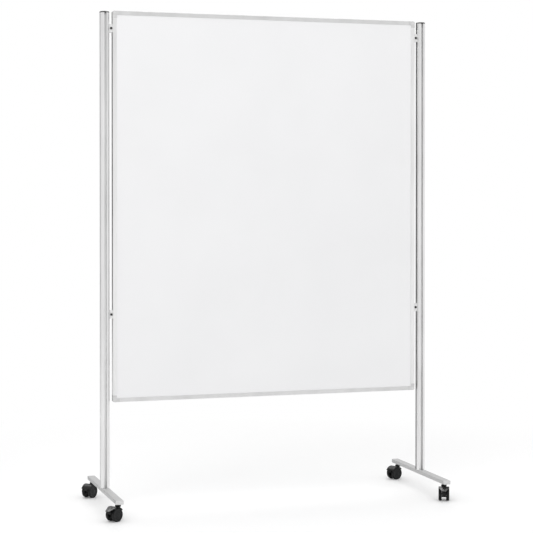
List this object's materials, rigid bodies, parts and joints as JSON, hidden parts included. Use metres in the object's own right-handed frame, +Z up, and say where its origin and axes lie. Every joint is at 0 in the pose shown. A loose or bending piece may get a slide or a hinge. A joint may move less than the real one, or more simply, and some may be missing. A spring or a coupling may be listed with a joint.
{
  "type": "rolling whiteboard",
  "caption": "Double-sided framed whiteboard that slides between slotted round posts, each on a foot bar with swivelling twin-wheel castors, the front ones with brakes.",
  "frame": {"origin": "on the floor, midway between the four castor stems and under the middle of the board", "axes": "+X along the board to the right seen from the front, +Y to the rear, +Z up"},
  "size_m": [1.3842, 0.5617, 1.906],
  "materials": {
    "aluminium_post": "satin anodised",
    "aluminium_frame": "satin anodised",
    "coated_foot": "fine powder coat",
    "foot_cap_plastic": "matt moulded",
    "post_cap_plastic": "matt moulded",
    "corner_plastic": "satin moulded",
    "slider_plastic": "satin moulded",
    "knob_plastic": "satin moulded",
    "castor_plastic": "satin moulded",
    "wheel_plastic": "satin moulded",
    "zinc_steel": "zinc plated",
    "black_steel": "black oxide",
    "writing_enamel": "glossy enamel",
    "core_board": "paper honeycomb"
  },
  "bodies": {
    "stand": {"left_post": "aluminium_post", "right_post": "aluminium_post", "left_post_cap": "post_cap_plastic", "right_post_cap": "post_cap_plastic", "left_foot_bar": "coated_foot", "right_foot_bar": "coated_foot", "left_front_end_cap": "foot_cap_plastic", "left_rear_end_cap": "foot_cap_plastic", "right_rear_end_cap": "foot_cap_plastic", "right_front_end_cap": "foot_cap_plastic", "post_bolts": "zinc_steel", "castor_sockets": "zinc_steel", "left_front_stem": "black_steel", "left_rear_stem": "black_steel", "right_rear_stem": "black_steel", "right_front_stem": "black_steel"},
    "board": {"panel_core": "core_board", "front_sheet": "writing_enamel", "rear_sheet": "writing_enamel", "top_rail": "aluminium_frame", "bottom_rail": "aluminium_frame", "left_rail": "aluminium_frame", "right_rail": "aluminium_frame", "top_left_corner": "corner_plastic", "top_right_corner": "corner_plastic", "bottom_left_corner": "corner_plastic", "bottom_right_corner": "corner_plastic", "upper_left_slider": "slider_plastic", "lower_left_slider": "slider_plastic", "upper_right_slider": "slider_plastic", "lower_right_slider": "slider_plastic", "clamp_knobs": "knob_plastic", "slider_screws": "zinc_steel", "rail_inserts": "zinc_steel"},
    "left_front_castor": {"left_front_hood": "castor_plastic", "left_front_axle": "zinc_steel", "left_front_pedal_pin": "zinc_steel"},
    "left_front_roller_a": {"left_front_wheel_a": "wheel_plastic"},
    "left_front_roller_b": {"left_front_wheel_b": "wheel_plastic"},
    "left_front_brake": {"left_front_pedal": "castor_plastic"},
    "left_rear_castor": {"left_rear_hood": "castor_plastic", "left_rear_axle": "zinc_steel"},
    "left_rear_roller_a": {"left_rear_wheel_a": "wheel_plastic"},
    "left_rear_roller_b": {"left_rear_wheel_b": "wheel_plastic"},
    "right_rear_castor": {"right_rear_hood": "castor_plastic", "right_rear_axle": "zinc_steel"},
    "right_rear_roller_a": {"right_rear_wheel_a": "wheel_plastic"},
    "right_rear_roller_b": {"right_rear_wheel_b": "wheel_plastic"},
    "right_front_castor": {"right_front_hood": "castor_plastic", "right_front_axle": "zinc_steel", "right_front_pedal_pin": "zinc_steel"},
    "right_front_roller_a": {"right_front_wheel_a": "wheel_plastic"},
    "right_front_roller_b": {"right_front_wheel_b": "wheel_plastic"},
    "right_front_brake": {"right_front_pedal": "castor_plastic"}
  },
  "joints": [
    {"name": "board_height", "type": "slide", "parent": "stand", "child": "board", "axis": [0, 0, 1], "range_m": [-0.3, 0.03]},
    {"name": "left_front_swivel", "type": "hinge", "parent": "stand", "child": "left_front_castor", "pos_m": [-0.655, -0.237, 0.058], "axis": [0, 0, 1], "continuous": true},
    {"name": "left_front_roll_a", "type": "hinge", "parent": "left_front_castor", "child": "left_front_roller_a", "pos_m": [-0.67158, -0.24818, 0.025], "axis": [0.5592, -0.829, 0], "continuous": true},
    {"name": "left_front_roll_b", "type": "hinge", "parent": "left_front_castor", "child": "left_front_roller_b", "pos_m": [-0.67158, -0.24818, 0.025], "axis": [0.5592, -0.829, 0], "continuous": true},
    {"name": "left_front_brake_press", "type": "hinge", "parent": "left_front_castor", "child": "left_front_brake", "pos_m": [-0.68378, -0.25641, 0.04383], "axis": [0.5592, -0.829, 0], "range_deg": [0, 15]},
    {"name": "left_rear_swivel", "type": "hinge", "parent": "stand", "child": "left_rear_castor", "pos_m": [-0.655, 0.237, 0.058], "axis": [0, 0, 1], "continuous": true},
    {"name": "left_rear_roll_a", "type": "hinge", "parent": "left_rear_castor", "child": "left_rear_roller_a", "pos_m": [-0.66986, 0.22362, 0.025], "axis": [0.6691, -0.7431, 0], "continuous": true},
    {"name": "left_rear_roll_b", "type": "hinge", "parent": "left_rear_castor", "child": "left_rear_roller_b", "pos_m": [-0.66986, 0.22362, 0.025], "axis": [0.6691, -0.7431, 0], "continuous": true},
    {"name": "right_rear_swivel", "type": "hinge", "parent": "stand", "child": "right_rear_castor", "pos_m": [0.655, 0.237, 0.058], "axis": [0, 0, 1], "continuous": true},
    {"name": "right_rear_roll_a", "type": "hinge", "parent": "right_rear_castor", "child": "right_rear_roller_a", "pos_m": [0.63621, 0.23016, 0.025], "axis": [0.342, -0.9397, 0], "continuous": true},
    {"name": "right_rear_roll_b", "type": "hinge", "parent": "right_rear_castor", "child": "right_rear_roller_b", "pos_m": [0.63621, 0.23016, 0.025], "axis": [0.342, -0.9397, 0], "continuous": true},
    {"name": "right_front_swivel", "type": "hinge", "parent": "stand", "child": "right_front_castor", "pos_m": [0.655, -0.237, 0.058], "axis": [0, 0, 1], "continuous": true},
    {"name": "right_front_roll_a", "type": "hinge", "parent": "right_front_castor", "child": "right_front_roller_a", "pos_m": [0.64687, -0.25527, 0.025], "axis": [0.9135, -0.4067, 0], "continuous": true},
    {"name": "right_front_roll_b", "type": "hinge", "parent": "right_front_castor", "child": "right_front_roller_b", "pos_m": [0.64687, -0.25527, 0.025], "axis": [0.9135, -0.4067, 0], "continuous": true},
    {"name": "right_front_brake_press", "type": "hinge", "parent": "right_front_castor", "child": "right_front_brake", "pos_m": [0.64088, -0.26871, 0.04383], "axis": [0.9135, -0.4067, 0], "range_deg": [0, 15]}
  ]
}
